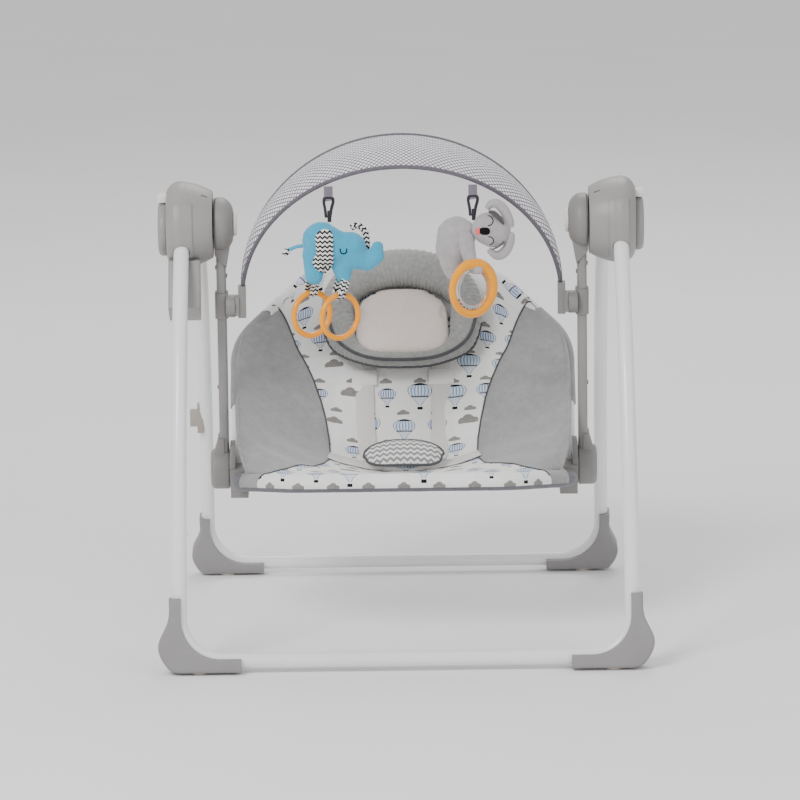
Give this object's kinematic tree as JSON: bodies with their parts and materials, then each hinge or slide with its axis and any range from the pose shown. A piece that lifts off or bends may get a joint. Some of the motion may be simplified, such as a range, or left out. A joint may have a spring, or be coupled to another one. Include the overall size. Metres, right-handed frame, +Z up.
{
  "type": "baby swing",
  "caption": "Folding battery baby swing: sling seat on two arms, toy bar with two plush toys, white A-frame with grey hubs and feet.",
  "frame": {"origin": "on the floor, at the middle of the stance", "axes": "+X to the right seen from the front, along the swing axis; +Y to the back; +Z up"},
  "size_m": [0.64, 0.5853, 0.6642],
  "materials": {
    "frame_white": "white powder coat",
    "hub_grey": "fine moulded texture",
    "head_grey": "fine moulded texture",
    "foot_grey": "fine moulded texture",
    "pad_rubber": "soft",
    "button_white": "glossy",
    "dial_white": "satin",
    "steel": "plain",
    "bush_plastic": "smooth",
    "motor_steel": "plated",
    "gear_plastic": "smooth",
    "board_green": "satin",
    "cell_wrap": "smooth",
    "jack_black": "smooth",
    "arm_grey": "grey powder coat",
    "bow_dark": "satin",
    "sleeve_mesh": "printed mesh with grey binding",
    "seat_print": "printed cotton",
    "wing_grey": "brushed velour",
    "headrest_grey": "heather jersey",
    "pad_cream": "spacer mesh",
    "webbing_white": "woven webbing",
    "adjuster_white": "smooth",
    "crotch_print": "zigzag weave with grey binding",
    "buckle_grey": "smooth",
    "toy_blue": "plush",
    "toy_grey": "plush",
    "ring_yellow": "glossy"
  },
  "bodies": {
    "front_frame": {"front_base_tube": "frame_white", "front_legs": "frame_white", "front_feet": "foot_grey", "front_foot_pads": "pad_rubber", "front_leg_buttons": "steel", "hub_cores": "hub_grey", "shaft_bushes": "bush_plastic", "hub_front_panels": "hub_grey", "hub_side_caps": "hub_grey", "hub_inner_shells": "hub_grey", "hub_outer_shells": "hub_grey", "power_inlet": "jack_black", "battery_box": "hub_grey", "battery_door": "hub_grey", "battery_cells": "cell_wrap", "drive_motor": "motor_steel", "gear_carrier": "gear_plastic", "circuit_board": "board_green"},
    "rear_frame": {"rear_base_tube": "frame_white", "rear_legs": "frame_white", "rear_feet": "foot_grey", "rear_foot_pads": "pad_rubber", "rear_leg_buttons": "steel", "rear_knuckles": "hub_grey", "leg_clip": "foot_grey"},
    "swing": {"swing_shafts": "steel", "drive_fork": "gear_plastic", "arm_heads": "head_grey", "swing_arms": "arm_grey", "arm_rivets": "steel", "pivot_housings": "head_grey", "toy_bar_collars": "head_grey"},
    "fold_button_left": {"fold_button_left": "button_white"},
    "fold_button_right": {"fold_button_right": "button_white"},
    "pinion": {"motor_pinion": "gear_plastic"},
    "crank_gear": {"drive_gear": "gear_plastic"},
    "speed_dial": {"speed_dial": "dial_white"},
    "sound_dial": {"sound_dial": "dial_white"},
    "toy_bar": {"toy_bar_holders": "head_grey", "toy_bar_frame": "bow_dark", "toy_bar_sleeve": "sleeve_mesh"},
    "elephant": {"elephant_hook": "head_grey", "elephant_toy": "toy_blue"},
    "elephant_ring_left": {"elephant_ring_left": "ring_yellow"},
    "elephant_ring_right": {"elephant_ring_right": "ring_yellow"},
    "koala": {"koala_hook": "head_grey", "koala_toy": "toy_grey", "koala_ring": "ring_yellow"},
    "seat": {"seat_brackets": "head_grey", "seat_front_tube": "frame_white", "seat_back_tube": "frame_white", "seat_sling": "seat_print", "side_wings": "wing_grey", "headrest_roll": "headrest_grey", "headrest_pad": "pad_cream", "harness_straps": "webbing_white", "strap_adjusters": "adjuster_white", "crotch_pad": "crotch_print", "buckle": "buckle_grey"},
    "buckle_button": {"buckle_button": "buckle_grey"}
  },
  "joints": [
    {"name": "swing_pivot", "type": "hinge", "parent": "front_frame", "child": "swing", "pos_m": [0, 0, 0.54], "axis": [1, 0, 0], "range_deg": [-18, 18]},
    {"name": "rear_fold", "type": "hinge", "parent": "front_frame", "child": "rear_frame", "pos_m": [0, 0, 0.54], "axis": [-1, 0, 0], "range_deg": [0, 50]},
    {"name": "fold_button_left_press", "type": "slide", "parent": "front_frame", "child": "fold_button_left", "axis": [1, 0, 0], "range_m": [0, 0.004], "stiffness_N_per_m": 400, "springref_m": -0.002},
    {"name": "fold_button_right_press", "type": "slide", "parent": "front_frame", "child": "fold_button_right", "axis": [-1, 0, 0], "range_m": [0, 0.004], "stiffness_N_per_m": 400, "springref_m": -0.002},
    {"name": "crank_gear_spin", "type": "hinge", "parent": "front_frame", "child": "crank_gear", "pos_m": [0, 0, 0.57], "axis": [1, 0, 0], "continuous": true},
    {"name": "pinion_spin", "type": "hinge", "parent": "front_frame", "child": "pinion", "pos_m": [0, 0.02068, 0.56635], "axis": [1, 0, 0], "continuous": true},
    {"name": "speed_dial_turn", "type": "hinge", "parent": "swing", "child": "speed_dial", "pos_m": [-0.222, 0, 0.54], "axis": [1, 0, 0], "range_deg": [-120, 120]},
    {"name": "sound_dial_turn", "type": "hinge", "parent": "swing", "child": "sound_dial", "pos_m": [0.222, 0, 0.54], "axis": [-1, 0, 0], "range_deg": [-120, 120]},
    {"name": "toy_bar_tilt", "type": "hinge", "parent": "swing", "child": "toy_bar", "pos_m": [0, -0.01, 0.432], "axis": [1, 0, 0], "range_deg": [-20, 50]},
    {"name": "elephant_hang", "type": "hinge", "parent": "toy_bar", "child": "elephant", "pos_m": [-0.094, -0.094, 0.603], "axis": [1, 0, 0], "range_deg": [-50, 50]},
    {"name": "koala_hang", "type": "hinge", "parent": "toy_bar", "child": "koala", "pos_m": [0.094, -0.094, 0.603], "axis": [1, 0, 0], "range_deg": [-50, 15]},
    {"name": "elephant_ring_left_hang", "type": "hinge", "parent": "elephant", "child": "elephant_ring_left", "pos_m": [-0.118, -0.086, 0.4625], "axis": [0.8192, 0.5736, 0], "range_deg": [-14, 14]},
    {"name": "elephant_ring_right_hang", "type": "hinge", "parent": "elephant", "child": "elephant_ring_right", "pos_m": [-0.081, -0.106, 0.4625], "axis": [0.8192, 0.5736, 0], "range_deg": [-14, 14]},
    {"name": "seat_recline", "type": "hinge", "parent": "swing", "child": "seat", "pos_m": [0, 0, 0.21], "axis": [-1, 0, 0], "range_deg": [0, 14]},
    {"name": "buckle_press", "type": "slide", "parent": "seat", "child": "buckle_button", "axis": [0, 0, -1], "range_m": [0, 0.0025], "stiffness_N_per_m": 400, "springref_m": -0.002}
  ],
  "couplings": [
    {"joint": "pinion_spin", "follows": "crank_gear_spin", "ratio": -4}
  ]
}
